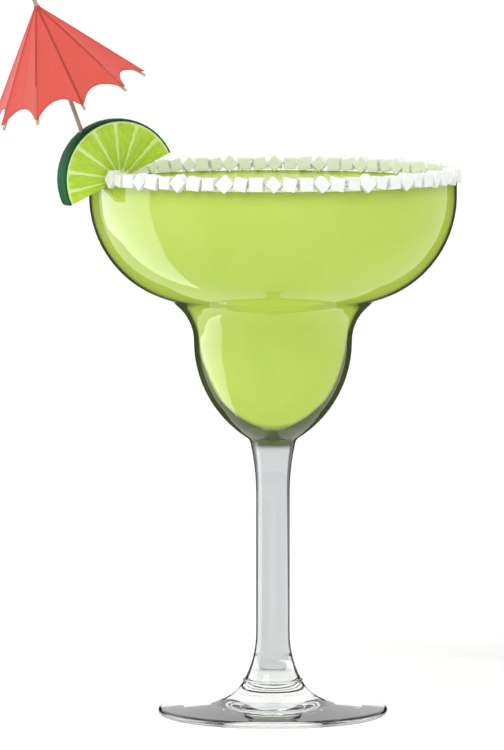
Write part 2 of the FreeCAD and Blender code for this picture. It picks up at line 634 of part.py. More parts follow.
def make_canopy():
    """Folded paper canopy: a thin cone of flat panels with a curved cut between each two ribs."""
    body = add_body("parasol_canopy")
    base = "Sizes.apex_distance - Sizes.canopy_height"
    neck = f"Sizes.apex_distance - {NECK_DROP}"
    outer = [
        draw_ring_of_sides(body, "outer_base", "Sizes.canopy_radius", base),
        draw_ring_of_sides(body, "outer_neck", NECK_RADIUS, neck),
    ]
    loft(body, "outer_paper", "PartDesign::AdditiveLoft", outer)
    inner = [
        draw_ring_of_sides(body, "inner_base", f"Sizes.canopy_radius - {INSET}", base),
        draw_ring_of_sides(body, "inner_neck", f"{NECK_RADIUS} - {INSET}", neck),
    ]
    loft(body, "inner_paper", "PartDesign::SubtractiveLoft", inner)

    section = add_sketch(body, "scallop_section", "YZ_Plane")
    circle = section.addGeometry(Part.Circle(Vector(0, 1, 0), Vector(0, 0, 1), 16), False)
    half_chord = f"(Sizes.canopy_radius * sin({HALF_SIDE}) - Sizes.tip_flat)"
    radius = f"(({half_chord} ^ 2 + Sizes.scallop ^ 2) / (2 * Sizes.scallop))"
    rule(section, "PointOnObject", circle, CENTRE, V_AXIS)
    bind(section, "Radius", circle, to=radius)
    bind(section, "DistanceY", ORIGIN, 1, circle, CENTRE, to=f"{base} + Sizes.scallop - {radius}")
    pocket = body.newObject("PartDesign::Pocket", "scallop_cut")
    pocket.Profile = section
    pocket.setExpression("Length", "2 * Sizes.canopy_radius")
    doc.recompute()
    whole = body.Tip.BaseFeature.Shape.Volume
    if pocket.Shape.Volume > whole * (1 - 1e-6):
        pocket.Reversed = not pocket.Reversed
        doc.recompute()

    pattern = body.newObject("PartDesign::PolarPattern", "scallops")
    pattern.Originals = [pocket]
    z_axis = next(f for f in body.Origin.OriginFeatures if f.Role == "Z_Axis")
    pattern.Axis = (z_axis, [""])
    pattern.Angle = 360
    pattern.Occurrences = RIBS
    body.Tip = pattern
    body.Placement = Placement(Vector(0, 0, 0), Rotation(Vector(0, 0, 1), HALF_SIDE))
    return place_parasol(body)


def seam(share):
    """A point on the inner fold of the paper, as a share of the way from the hub to the tip."""
    inset, hub = worth(INSET), worth(HUB_RADIUS)
    radius = hub + share * (size("canopy_radius") - inset - hub)
    drop = (radius + inset) * size("canopy_height") / size("canopy_radius")
    return Vector(radius, 0, size("apex_distance") - drop)


def bar_place(start, end, turn):
    """A bar's place between two points of the radial plane, its thickness hanging below them."""
    along = (end - start).normalize()
    upward = along.cross(Vector(0, 1, 0)) * -1
    if upward.z < 0:
        upward = upward * -1
    sideways = upward.cross(along)
    corner = start - sideways * (size("rib_width") / 2) - upward * size("rib_thickness")
    facing = Rotation(along, sideways, upward, "XYZ")
    spin = Rotation(Vector(0, 0, 1), turn)
    return Placement(Vector(0, 0, 0), spin) * Placement(corner, facing)


def make_bar(label, start, end, turn):
    """One split-wood bar of the parasol's frame."""
    bar = doc.addObject("Part::Box", label)
    bar.Label = label
    bar.Length = (end - start).Length
    bar.setExpression("Width", "Sizes.rib_width")
    bar.setExpression("Height", "Sizes.rib_thickness")
    bar.Placement = bar_place(start, end, turn)
    return place_parasol(bar)


def rib_line():
    """The two ends of a rib's upper face, in the radial plane."""
    inner, outer = seam(0), seam(1)
    along = (outer - inner).normalize()
    inward = Vector(along.z, 0, -along.x)
    inner = inner + inward * size("rib_clearance")
    outer = outer + inward * size("rib_clearance") + along * size("rib_overhang")
    clear = worth(HUB_RADIUS) + size("joint_gap") - inner.x - inward.x * size("rib_thickness")
    return inner + along * (clear / along.x), outer


def strut_line():
    """The two ends of a strut's upper face, from the runner to the underside of its rib."""
    inner, outer = rib_line()
    along = (outer - inner).normalize()
    inward = Vector(along.z, 0, -along.x)
    joint = inner + (outer - inner) * size("strut_reach")
    top = joint + inward * (size("rib_thickness") + size("rib_thickness") + size("joint_gap"))
    runner_top = size("runner_distance") + size("runner_height")
    start = Vector(worth(RUNNER_RADIUS) + size("rib_thickness"), 0, runner_top)
    return start, top


def make_frame():
    """Ribs under the folds of the paper, each propped by a strut from the runner."""
    pieces = []
    for number in range(RIBS):
        turn = 360 * number / RIBS
        pieces.append(make_bar(f"parasol_rib_{number + 1}", *rib_line(), turn))
        pieces.append(make_bar(f"parasol_strut_{number + 1}", *strut_line(), turn))
    return pieces


def make_sleeve(label, outside, height, start):
    """A piece that is threaded on the stick: a solid less a hole for the stick."""
    place = Placement(Vector(0, 0, start), Rotation())
    hole = add_cylinder(f"{label}_hole", STICK_HOLE, height, place)
    outside.Placement = place
    return place_parasol(cut(label, outside, hole))


def make_fittings():
    """What is threaded on the stick: hub, runner, stop ring and cap."""
    still = Placement()
    hub_start = size("apex_distance") - size("hub_drop") - size("hub_height")
    hub = add_cylinder("hub_blank", HUB_RADIUS, "Sizes.hub_height", still)
    runner = add_cylinder("runner_blank", RUNNER_RADIUS, "Sizes.runner_height", still)

    ring = doc.addObject("Part::Torus", "parasol_ring")
    ring.Label = "parasol_ring"
    ring.setExpression("Radius1", f"{STICK_HOLE} + Sizes.ring_thickness / 2")
    ring.setExpression("Radius2", "Sizes.ring_thickness / 2")
    ring_start = size("runner_distance") - size("joint_gap") - size("ring_thickness") / 2
    ring.Placement = Placement(Vector(0, 0, ring_start), Rotation())

    cap = doc.addObject("Part::Cone", "cap_blank")
    cap.setExpression("Radius1", NECK_RADIUS)
    cap.setExpression("Radius2", "Sizes.stick_diameter / 2 + Sizes.cap_wall")
    cap.setExpression("Height", "Sizes.cap_height")
    cap_start = size("apex_distance") - worth(NECK_DROP)
    return [
        make_sleeve("parasol_hub", hub, "Sizes.hub_height", hub_start),
        make_sleeve("parasol_runner", runner, "Sizes.runner_height", size("runner_distance")),
        place_parasol(ring),
        make_sleeve("parasol_cap", cap, "Sizes.cap_height", cap_start),
    ]


# ---------------------------------------------------------------- the whole

def check(pieces):
    """Stop if any object of the document failed or any piece isn't one sound solid."""
    for thing in doc.Objects:
        if "Invalid" in thing.State or "Error" in thing.State:
            raise RuntimeError(f"{thing.Label} failed: {thing.State}")
    for piece in pieces:
        shape = piece.Shape
        if shape.isNull() or not shape.isValid() or len(shape.Solids) != 1:
            raise RuntimeError(f"{piece.Label} isn't one sound solid")


def write(pieces):
    """Write each piece to its own file."""
    os.makedirs("parts", exist_ok=True)
    for piece in pieces:
        piece.Shape.exportStep(f"parts/{piece.Label}.step")
        box = piece.Shape.BoundBox
        volume = piece.Shape.Volume / 1000
        print(f"{piece.Label}: {volume:.3f} cm3, z {box.ZMin:.2f} to {box.ZMax:.2f}")


def main():
    """Build the sheet, every piece and the files."""
    fill_sheet()
    glass = make_glass()
    lime_slice = make_lime_slice()
    drink = make_drink(lime_slice)
    pieces = [glass, lime_slice, drink, make_stick(), make_canopy()]
    pieces += make_frame() + make_fittings()
    doc.recompute()
    pieces.append(make_salt(glass, drink))
    doc.recompute()
    check(pieces)
    write(pieces)


main()
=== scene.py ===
"""Looks of a margarita cocktail: clear glass, cloudy lime drink, coarse salt, lime slice, parasol.

Shapes are worked out in millimetres in the frame of the piece they belong to, and the glass's
own frame is the model's: +Z up, the foot's centre at the origin, -Y the front.
"""

import math
import random

import bmesh
import bpy
import numpy as np
from mathutils import Matrix, Vector, noise


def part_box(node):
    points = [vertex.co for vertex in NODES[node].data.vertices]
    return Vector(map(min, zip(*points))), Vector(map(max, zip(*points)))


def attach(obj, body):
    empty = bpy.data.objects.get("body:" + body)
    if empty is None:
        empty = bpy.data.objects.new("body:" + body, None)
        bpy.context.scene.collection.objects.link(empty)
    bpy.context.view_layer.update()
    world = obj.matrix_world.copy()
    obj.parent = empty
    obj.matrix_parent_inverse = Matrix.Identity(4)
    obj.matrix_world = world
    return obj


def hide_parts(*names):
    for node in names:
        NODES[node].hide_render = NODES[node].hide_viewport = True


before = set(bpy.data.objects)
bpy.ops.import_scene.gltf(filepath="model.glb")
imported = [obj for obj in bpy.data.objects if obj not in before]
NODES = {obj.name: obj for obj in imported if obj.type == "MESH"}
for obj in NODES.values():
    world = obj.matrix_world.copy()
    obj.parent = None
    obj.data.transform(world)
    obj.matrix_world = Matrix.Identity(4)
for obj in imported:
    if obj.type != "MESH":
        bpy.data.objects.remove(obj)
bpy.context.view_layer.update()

MM = 0.001
UP = Vector((0, 0, 1))
GLASS_TOP = Vector(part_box("glass")[1]) / MM
DRINK_LOW = Vector(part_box("drink")[0]) / MM
RIM_RADIUS, RIM_HEIGHT = GLASS_TOP.x, GLASS_TOP.z
WALL = 1.5  # thickness of the bowl at its lip
LIP_MIDDLE = RIM_RADIUS - WALL / 2

# where the slice sits and how it lies
LIME_BEARING = math.radians(202)
LIME_INSET = 4.85
LIME_DROP = 0.1
LIME_TILT = math.radians(25.5)
LIME_RADIUS, LIME_BACK_RADIUS = 18.0, 17.5
LIME_HALF = 4.25
RIND_BULGE = 0.4
INWARD = Vector((-math.cos(LIME_BEARING), -math.sin(LIME_BEARING), 0))
LIME_CENTRE = INWARD * (LIME_INSET - RIM_RADIUS) + UP * (RIM_HEIGHT - LIME_DROP)

# the parasol, measured along its stick from where that enters the rind
STICK_ENTRY = math.radians(127.5)
STICK_LEAN = math.radians(20.7)
PARASOL_TURN = math.radians(101)
APEX = 41.0
CANOPY_RADIUS, CANOPY_HEIGHT = 24.2, 29.5
NECK_RADIUS = 1.136
SCALLOP = 3.6
TIP_FLAT = 0.4
RIBS = 10


def frame_matrix(origin, turn):
    """A 4x4 place in metres from an origin in millimetres and a 3x3 turn."""
    return Matrix.Translation(origin * MM) @ turn.to_4x4()


def columns(x_axis, y_axis, z_axis):
    """The 3x3 turn whose local axes are these directions."""
    return Matrix((x_axis, y_axis, z_axis)).transposed()


def lime_place():
    """The slice's frame: X along its straight cut, Y to its rind, Z out of its front face."""
    upright = columns(INWARD, UP, INWARD.cross(UP))
    return frame_matrix(LIME_CENTRE, upright @ Matrix.Rotation(LIME_TILT, 3, "Z"))


def parasol_place():
    """The parasol's frame: Z up its stick, X along the first rib."""
    rind = (LIME_RADIUS + LIME_BACK_RADIUS) / 2 + RIND_BULGE
    start = LIME_CENTRE + INWARD * (rind * math.cos(STICK_ENTRY)) + UP * (rind * math.sin(STICK_ENTRY))
    aside = INWARD.cross(UP)
    lean = Matrix.Rotation(STICK_LEAN, 3, aside)
    turn = lean @ columns(INWARD, -aside, UP) @ Matrix.Rotation(-PARASOL_TURN, 3, "Z")
    return frame_matrix(start, turn)


# ---------------------------------------------------------------- mesh helpers

def grid_faces(rows, across, start=0, wrap=False):
    """Quads of a grid of points stored row by row; wrap joins the last column to the first."""
    faces = []
    for row in range(rows - 1):
        for column in range(across if wrap else across - 1):
            after = (column + 1) % across
            low, high = start + row * across, start + (row + 1) * across
            faces.append((low + column, low + after, high + after, high + column))
    return faces


def add_piece(name, points, faces, material, place=Matrix.Identity(4), smooth=True):
    """A piece made from points in millimetres, which rides on the glass's body."""
    mesh = bpy.data.meshes.new(name)
    mesh.from_pydata([tuple(c * MM for c in p) for p in points], [], faces)
    mesh.materials.append(material)
    clean = bmesh.new()
    clean.from_mesh(mesh)
    bmesh.ops.remove_doubles(clean, verts=clean.verts, dist=0.002 * MM)
    bmesh.ops.recalc_face_normals(clean, faces=clean.faces)
    for face in clean.faces:
        face.smooth = smooth
    clean.to_mesh(mesh)
    clean.free()
    piece = bpy.data.objects.new(name, mesh)
    piece.matrix_world = place
    bpy.context.scene.collection.objects.link(piece)
    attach(piece, "root")
    return piece


def cell_relief(x, y, z):
    """0 at the border between two cells of an uneven pattern, rising to 1 inside each."""
    near = noise.voronoi(Vector((x, y, z)))[0]
    return min(1.0, 3.0 * (near[1] - near[0]))


# ---------------------------------------------------------------- materials

def colour(code):
    """Linear colour from an sRGB hex code."""
    levels = [int(code[n:n + 2], 16) / 255 for n in (1, 3, 5)]
    return [c / 12.92 if c <= 0.04045 else ((c + 0.055) / 1.055) ** 2.4 for c in levels] + [1.0]


def pitch(size):
    """Texture scale that makes one cell of a pattern about this many millimetres."""
    return 1 / (size * MM)


def add_node(tree, kind, inputs=(), **settings):
    """Add a shader node, set its settings and set or link its inputs."""
    made = tree.nodes.new("ShaderNode" + kind)
    for name, value in settings.items():
        setattr(made, name, value)
    for key, value in dict(inputs).items():
        if isinstance(value, bpy.types.NodeSocket):
            tree.links.new(value, made.inputs[key])
        else:
            made.inputs[key].default_value = value
    return made


def start_material(name, plain):
    """A material with one shader whose uniform values are set on its own sockets."""
    material = bpy.data.materials.new(name)
    material.use_nodes = True
    tree = material.node_tree
    shader = tree.nodes["Principled BSDF"]
    for socket, value in plain.items():
        shader.inputs[socket].default_value = value
    where = add_node(tree, "TexCoord").outputs["Object"]
    return material, tree, shader, where


# Up the glass from its foot, heights in millimetres: its own tint, with a near-black band of painted shade in
# the solid base of the bulb, and how far round from facing the eye its painted-shade outline begins, which
# sets how wide that is.
GLASS_TINTS_AND_PAINTED_SHADE = (
    (0, "#F2F3F3"), (8, "#F2F3F3"), (14, "#C8CACC"), (82, "#C8CACC"),
    # painted shade: the near-black #303234 band across the solid base of the bulb
    (83.5, "#303234"), (88.5, "#303234"), (90.5, "#F7F9F8"), (RIM_HEIGHT, "#F7F9F8"),
)
PAINTED_OUTLINE_SHADE_BEGINS = (
    (7, 1.0), (10, 0.52), (30, 0.52), (80, 0.37), (90, 0.35), (98, 0.48), (110, 0.52),
    (118, 0.60), (124, 0.68), (127, 0.74), (128.5, 0.80), (138, 0.78),
)
PAINTED_OUTLINE_SHADE_SOFT = 0.07


def soda_lime_glass():
    """Clear soda-lime glass, blown and fire-polished.

    Where it is thick, in the stem, it is tinted grey. The bulb's base has a near-black band of painted
    shade, and painted shade darkens its outlines as the surface turns edge-on to the eye.
    """
    material, tree, shader, where = start_material("soda_lime_glass_fire_polished", {
        "Transmission Weight": 1.0,
        "Roughness": 0.0,
        "IOR": 1.5,
    })
    height = add_node(tree, "SeparateXYZ", {"Vector": where}).outputs["Z"]
    share = add_node(tree, "Math", {0: height, 1: RIM_HEIGHT * MM}, operation="DIVIDE")

    def ramp(stops):
        made = add_node(tree, "ValToRGB", {"Fac": share.outputs["Value"]})
        bands = made.color_ramp.elements
        while len(bands) < len(stops):
            bands.new(0.5)
        for band, (level, value) in zip(bands, stops):
            band.position = level / RIM_HEIGHT
            band.color = value
        return made.outputs["Color"]

    body = ramp([(level, colour(code)) for level, code in GLASS_TINTS_AND_PAINTED_SHADE])
    begins = ramp([(level, (value, value, value, 1.0)) for level, value in PAINTED_OUTLINE_SHADE_BEGINS])
    ends = add_node(tree, "Math", {0: begins, 1: PAINTED_OUTLINE_SHADE_SOFT}, operation="ADD").outputs["Value"]
    facing = add_node(tree, "LayerWeight", {"Blend": 0.5}).outputs["Facing"]
    painted_outline_shade = add_node(tree, "MapRange", {"Value": facing, "From Min": begins, "From Max": ends})
    # painted shade: mixes the glass towards #1E2022 as its surface turns edge-on to the eye
    tint = add_node(tree, "MixRGB", {
        "Fac": painted_outline_shade.outputs["Result"], "Color1": body, "Color2": colour("#1E2022"),
    })
    tree.links.new(tint.outputs["Color"], shader.inputs["Base Color"])
    wave = add_node(tree, "TexNoise", {"Vector": where, "Scale": pitch(14), "Detail": 1.0})
    bump = add_node(tree, "Bump", {
        "Height": wave.outputs["Fac"], "Strength": 0.2, "Distance": 0.05 * MM,
    })
    tree.links.new(bump.outputs["Normal"], shader.inputs["Normal"])
    return material


def cloudy_lime_drink():
    """Shaken lime drink: cloudy yellow-green with slow wisps of pulp, and a pale painted highlight at its
    very bottom.
    """
    material, tree, shader, where = start_material("cloudy_lime_drink_shaken", {
        "Roughness": 0.18,
        "IOR": 1.34,
        "Specular IOR Level": 0.2,
    })
    wisps = add_node(tree, "TexNoise", {
        "Vector": where, "Scale": pitch(22), "Detail": 4.0, "Distortion": 0.8,
    })
    share = add_node(tree, "MapRange", {
        "Value": wisps.outputs["Fac"], "From Min": 0.35, "From Max": 0.65,
    })
    body = add_node(tree, "MixRGB", {
        "Fac": share.outputs["Result"], "Color1": colour("#B0C845"), "Color2": colour("#B8CC4E"),
    })
    # painted highlight: paler #DCEB9B close round the drink's lowest point, standing in for light gathered
    # through the glass's base
    below = add_node(tree, "VectorMath", {
        0: where, 1: (0, 0, DRINK_LOW.z * MM),
    }, operation="DISTANCE")
    bottom = add_node(tree, "MapRange", {
        "Value": below.outputs["Value"], "From Min": 7.6 * MM, "From Max": 6.4 * MM,
    })
    tint = add_node(tree, "MixRGB", {
        "Fac": bottom.outputs["Result"], "Color1": body.outputs["Color"], "Color2": colour("#DCEB9B"),
    })
    tree.links.new(tint.outputs["Color"], shader.inputs["Base Color"])
    return material


def coarse_sea_salt():
    """Evaporated sea salt: dull white cubes, frosted by fine pits that scatter the light."""
    material, tree, shader, where = start_material("coarse_sea_salt_evaporated", {
        "Roughness": 0.42,
        "IOR": 1.54,
        "Subsurface Weight": 0.12,
        "Subsurface Radius": (1.0, 1.0, 1.0),
        "Subsurface Scale": 0.8 * MM,
    })
    cloud = add_node(tree, "TexNoise", {"Vector": where, "Scale": pitch(1.6), "Detail": 3.0})
    tint = add_node(tree, "MixRGB", {
        "Fac": cloud.outputs["Fac"], "Color1": colour("#DDE0DB"), "Color2": colour("#EDEFEA"),
    })
    tree.links.new(tint.outputs["Color"], shader.inputs["Base Color"])
    pits = add_node(tree, "TexNoise", {"Vector": where, "Scale": pitch(0.35), "Detail": 2.0})
    bump = add_node(tree, "Bump", {"Height": pits.outputs["Fac"], "Strength": 0.5, "Distance": 0.08 * MM})
    tree.links.new(bump.outputs["Normal"], shader.inputs["Normal"])
    return material


def lime_zest():
    """Lime rind: waxy dark green skin, dimpled by oil glands about a millimetre apart."""
    material, tree, shader, where = start_material("lime_zest_waxy", {
        "Roughness": 0.45,
        "IOR": 1.42,
        "Specular IOR Level": 0.04,
    })
    blotch = add_node(tree, "TexNoise", {"Vector": where, "Scale": pitch(6), "Detail": 3.0})
    skin = add_node(tree, "MixRGB", {
        "Fac": blotch.outputs["Fac"], "Color1": colour("#044C29"), "Color2": colour("#0A5C32"),
    })
    glands = add_node(tree, "TexVoronoi", {
        "Vector": where, "Scale": pitch(0.95),
    }, feature="SMOOTH_F1")
    speck = add_node(tree, "MapRange", {
        "Value": glands.outputs["Distance"], "From Min": 0.1, "From Max": 0.4, "To Min": 0.35, "To Max": 0.0,
    })
    tint = add_node(tree, "MixRGB", {
        "Fac": speck.outputs["Result"], "Color1": skin.outputs["Color"], "Color2": colour("#1C7038"),
    })
    tree.links.new(tint.outputs["Color"], shader.inputs["Base Color"])
    bump = add_node(tree, "Bump", {
        "Height": glands.outputs["Distance"], "Strength": 0.6, "Distance": 0.12 * MM,
    })
    tree.links.new(bump.outputs["Normal"], shader.inputs["Normal"])
    return material


def lime_pith():
    """Pith and membranes: soft, matte, pale green-white and finely fibrous where it was cut."""
    material, tree, shader, where = start_material("lime_pith_cut", {
        "Roughness": 0.55,
        "IOR": 1.38,
        "Subsurface Weight": 0.25,
        "Subsurface Radius": (0.9, 1.0, 0.5),
        "Subsurface Scale": 0.8 * MM,
    })
    fibre = add_node(tree, "TexNoise", {"Vector": where, "Scale": pitch(0.7), "Detail": 4.0})
    tint = add_node(tree, "MixRGB", {
        "Fac": fibre.outputs["Fac"], "Color1": colour("#C3E07A"), "Color2": colour("#DFF2A8"),
    })
    tree.links.new(tint.outputs["Color"], shader.inputs["Base Color"])
    bump = add_node(tree, "Bump", {"Height": fibre.outputs["Fac"], "Strength": 0.4, "Distance": 0.1 * MM})
    tree.links.new(bump.outputs["Normal"], shader.inputs["Normal"])
    return material


def lime_pulp():
    """Cut pulp: wet juice sacs, long and narrow and pointing at the core, brighter to the rind."""
    material, tree, shader, where = start_material("lime_pulp_cut_wet", {
        "Roughness": 0.2,
        "IOR": 1.36,
        "Subsurface Weight": 0.3,
        "Subsurface Radius": (0.7, 1.0, 0.2),
        "Subsurface Scale": 1.0 * MM,
        "Coat Weight": 0.15,
        "Coat Roughness": 0.08,
    })
    flat = add_node(tree, "VectorMath", {0: where, 1: (1, 1, 0)}, operation="MULTIPLY")
    reach = add_node(tree, "VectorMath", {0: flat.outputs["Vector"]}, operation="LENGTH")
    axes = add_node(tree, "SeparateXYZ", {"Vector": where})
    around = add_node(tree, "Math", {0: axes.outputs["Y"], 1: axes.outputs["X"]}, operation="ARCTAN2")
    along = add_node(tree, "Math", {0: reach.outputs["Value"], 1: pitch(4.2)}, operation="MULTIPLY")
    turn = add_node(tree, "Math", {0: around.outputs["Value"], 1: 11.0}, operation="MULTIPLY")
    deep = add_node(tree, "Math", {0: axes.outputs["Z"], 1: pitch(3)}, operation="MULTIPLY")
    polar = add_node(tree, "CombineXYZ", {
        "X": along.outputs["Value"], "Y": turn.outputs["Value"], "Z": deep.outputs["Value"],
    })
    sacs = add_node(tree, "TexVoronoi", {
        "Vector": polar.outputs["Vector"], "Scale": 1.0,
    }, feature="SMOOTH_F1")
    streak = add_node(tree, "TexNoise", {"Vector": polar.outputs["Vector"], "Scale": 2.2, "Detail": 3.0})
    outward = add_node(tree, "MapRange", {
        "Value": reach.outputs["Value"], "From Min": 3 * MM, "From Max": 14 * MM,
    })
    base = add_node(tree, "MixRGB", {
        "Fac": outward.outputs["Result"], "Color1": colour("#A5C931"), "Color2": colour("#B1D32A"),
    })
    light = add_node(tree, "MapRange", {
        "Value": streak.outputs["Fac"], "From Min": 0.4, "From Max": 0.7, "To Min": 0.0, "To Max": 0.7,
    })
    lit = add_node(tree, "MixRGB", {
        "Fac": light.outputs["Result"], "Color1": base.outputs["Color"], "Color2": colour("#C2E04D"),
    })
    edge = add_node(tree, "MapRange", {
        "Value": sacs.outputs["Distance"], "From Min": 0.35, "From Max": 0.7, "To Min": 0.0, "To Max": 0.45,
    })
    tint = add_node(tree, "MixRGB", {
        "Fac": edge.outputs["Result"], "Color1": lit.outputs["Color"], "Color2": colour("#8FBB28"),
    })
    tree.links.new(tint.outputs["Color"], shader.inputs["Base Color"])
    bump = add_node(tree, "Bump", {
        "Height": sacs.outputs["Distance"], "Strength": 0.5, "Distance": -0.2 * MM,
    })
    tree.links.new(bump.outputs["Normal"], shader.inputs["Normal"])
    return material


def wood(name, dark, light, grain, place):
    """Unpolished wood with its grain along the local Z axis of a place."""
    material, tree, shader, where = start_material(name, {"Roughness": 0.62, "IOR": 1.5})
    turned = add_node(tree, "Mapping", {
        "Vector": where,
        "Location": place.translation,
        "Rotation": place.to_euler(),
    }, vector_type="TEXTURE")
    long_grain = add_node(tree, "VectorMath", {
        0: turned.outputs["Vector"], 1: (1.0, 1.0, 0.08),
    }, operation="MULTIPLY")
    lines = add_node(tree, "TexNoise", {
        "Vector": long_grain.outputs["Vector"], "Scale": pitch(grain), "Detail": 4.0, "Distortion": 0.3,
    })
    share = add_node(tree, "MapRange", {"Value": lines.outputs["Fac"], "From Min": 0.35, "From Max": 0.65})
    tint = add_node(tree, "MixRGB", {
        "Fac": share.outputs["Result"], "Color1": colour(dark), "Color2": colour(light),
    })
    tree.links.new(tint.outputs["Color"], shader.inputs["Base Color"])
    bump = add_node(tree, "Bump", {"Height": lines.outputs["Fac"], "Strength": 0.4, "Distance": 0.05 * MM})
    tree.links.new(bump.outputs["Normal"], shader.inputs["Normal"])
    return material


def tissue_paper(place):
    """Coral tissue paper: matte, faintly mottled by its fibres, darker where it is folded on a rib."""
    material, tree, shader, where = start_material("coral_tissue_paper_folded", {
        "Roughness": 0.82,
        "IOR": 1.45,
        "Sheen Weight": 0.08,
        "Subsurface Weight": 0.12,
        "Subsurface Radius": (1.0, 0.5, 0.4),
        "Subsurface Scale": 0.5 * MM,
    })
    turned = add_node(tree, "Mapping", {
        "Vector": where,
        "Location": place.translation,
        "Rotation": place.to_euler(),
    }, vector_type="TEXTURE")
    axes = add_node(tree, "SeparateXYZ", {"Vector": turned.outputs["Vector"]})
    around = add_node(tree, "Math", {0: axes.outputs["Y"], 1: axes.outputs["X"]}, operation="ARCTAN2")
    span = 2 * math.pi / RIBS
    from_rib = add_node(tree, "Math", {0: around.outputs["Value"], 1: span / 2}, operation="PINGPONG")
    flat = add_node(tree, "VectorMath", {0: turned.outputs["Vector"], 1: (1, 1, 0)}, operation="MULTIPLY")
    reach = add_node(tree, "VectorMath", {0: flat.outputs["Vector"]}, operation="LENGTH")
    aside = add_node(tree, "Math", {
        0: from_rib.outputs["Value"], 1: reach.outputs["Value"],
    }, operation="MULTIPLY")
    fold = add_node(tree, "MapRange", {
        "Value": aside.outputs["Value"], "From Min": 0.25 * MM, "From Max": 0.6 * MM,
        "To Min": 1.0, "To Max": 0.0,
    })
    fibre = add_node(tree, "TexNoise", {"Vector": where, "Scale": pitch(0.9), "Detail": 5.0})
    paper = add_node(tree, "MixRGB", {
        "Fac": fibre.outputs["Fac"], "Color1": colour("#C84B3F"), "Color2": colour("#D05347"),
    })
    tint = add_node(tree, "MixRGB", {
        "Fac": fold.outputs["Result"], "Color1": paper.outputs["Color"], "Color2": colour("#BA3F33"),
    })
    tree.links.new(tint.outputs["Color"], shader.inputs["Base Color"])
    bump = add_node(tree, "Bump", {"Height": fibre.outputs["Fac"], "Strength": 0.35, "Distance": 0.06 * MM})
    tree.links.new(bump.outputs["Normal"], shader.inputs["Normal"])
    return material


def mottled(name, dark, light, grain, plain):
    """A plain dull finish, mottled at a given grain in millimetres, such as card or rubber."""
    material, tree, shader, where = start_material(name, plain)
    spots = add_node(tree, "TexNoise", {"Vector": where, "Scale": pitch(grain), "Detail": 4.0})
    tint = add_node(tree, "MixRGB", {
        "Fac": spots.outputs["Fac"], "Color1": colour(dark), "Color2": colour(light),
    })
    tree.links.new(tint.outputs["Color"], shader.inputs["Base Color"])
    bump = add_node(tree, "Bump", {"Height": spots.outputs["Fac"], "Strength": 0.3, "Distance": 0.05 * MM})
    tree.links.new(bump.outputs["Normal"], shader.inputs["Normal"])
    return material


# ---------------------------------------------------------------- the drink

INTO_WALL = 0.12  # how far the drink reaches into the glass, so that no air shows between
MENISCUS = 0.7  # rise of the drink's edge at the wall
MENISCUS_FALL = 0.55  # distance in which that rise falls to 37 %
TURNED_STEPS = 160


def turned_profile(node):
    """Radius and height of a turned node's outside, from its bottom to its top edge."""
    rings = {}
    for vertex in node.data.vertices:
        height = round(vertex.co.z / MM, 3)
        rings[height] = max(rings.get(height, 0.0), math.hypot(vertex.co.x, vertex.co.y) / MM)
    profile = []
    for height in sorted(rings):
        if not profile or height - profile[-1][1] > 0.15:
            profile.append((rings[height], height))
    top = (rings[max(rings)], max(rings))
    return profile if profile[-1] == top else profile[:-1] + [top]


def make_drink(material):
    """The drink, let a little into the wall, with a meniscus round its edge."""
    wall = turned_profile(NODES["drink"])
    profile = [(0.0, wall[0][1] - INTO_WALL)]
    for (r0, z0), (r1, z1), (r2, z2) in zip(wall, wall[1:], wall[2:]):
        length = math.hypot(r2 - r0, z2 - z0)
        profile.append((r1 + (z2 - z0) / length * INTO_WALL, z1 - (r2 - r0) / length * INTO_WALL))
    edge, level = wall[-1]
    profile.append((edge + INTO_WALL, level + MENISCUS))
    for back in (0.0, 0.15, 0.35, 0.7, 1.2, 1.9, 3.0):
        rise = MENISCUS * math.exp(-back / MENISCUS_FALL)
        profile.append((edge + INTO_WALL / 2 - back, level + rise))
    profile += [(edge * share, level) for share in (0.9, 0.75, 0.5, 0.25, 0.0)]
    turns = [2 * math.pi * n / TURNED_STEPS for n in range(TURNED_STEPS)]
    points = [(r * math.cos(a), r * math.sin(a), z) for r, z in profile for a in turns]
    faces = grid_faces(len(profile), TURNED_STEPS, wrap=True)
    drink = add_piece("drink_fill", points, faces, material)
    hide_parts("drink")


# ---------------------------------------------------------------- the salt

CRYSTAL = 3.9
CRYSTAL_PITCH = 4.8
CRYSTAL_LIFT = 0.1
SALT_GAP = 0.8
LEVEL_TURNS = (45.0, -12.0, 0.0)
UNEVEN_SIZES = (1.0, 0.94, 1.03, 0.97, 1.05, 0.92, 1.0)
UNEVEN_LEANS = (3.0, -6.0, 9.0, -2.0, 5.0)
GRAINS = 1500
CRUST_DEPTH = 1.7


def salt_run():
    """Bearing where the salt begins and the angle it runs through, clear of the slice."""
    half_gap = (LIME_HALF + SALT_GAP) / LIP_MIDDLE
    return LIME_BEARING + half_gap, 2 * math.pi - 2 * half_gap


def cube_template(cuts):
    """Points and faces of a cube of half side 1, its grid closer near the edges."""
    cube = bmesh.new()
    bmesh.ops.create_cube(cube, size=2)
    if cuts:
        bmesh.ops.subdivide_edges(cube, edges=cube.edges, cuts=cuts, use_grid_fill=True)
    points = np.array([tuple(v.co) for v in cube.verts])
    faces = [tuple(v.index for v in face.verts) for face in cube.faces]
    cube.free()
    return np.sin(points * math.pi / 2), faces


def chip(points, rng):
    """Round a cube's edges, knock chips off it and roughen it a little."""
    rounding = rng.uniform(0.06, 0.11)
    inner = np.clip(points, rounding - 1, 1 - rounding)
    proud = points - inner
    length = np.linalg.norm(proud, axis=1, keepdims=True)
    points = inner + proud / np.maximum(length, 1e-9) * rounding
    for _ in range(rng.randint(2, 4)):
        way = np.array([rng.choice((-1, 1)) * rng.uniform(0.15, 1.0) for _ in range(3)])
        way /= np.linalg.norm(way)
        over = points @ way - (np.abs(way).sum() - rng.uniform(0.05, 0.2))
        points = points - np.outer(np.maximum(over, 0), way)
    shift = rng.uniform(0, 50)
    rough = [noise.noise(Vector(p) * 2.2 + Vector((shift, 0, 0))) for p in points]
    return points * (1 + 0.02 * np.array(rough)[:, None])


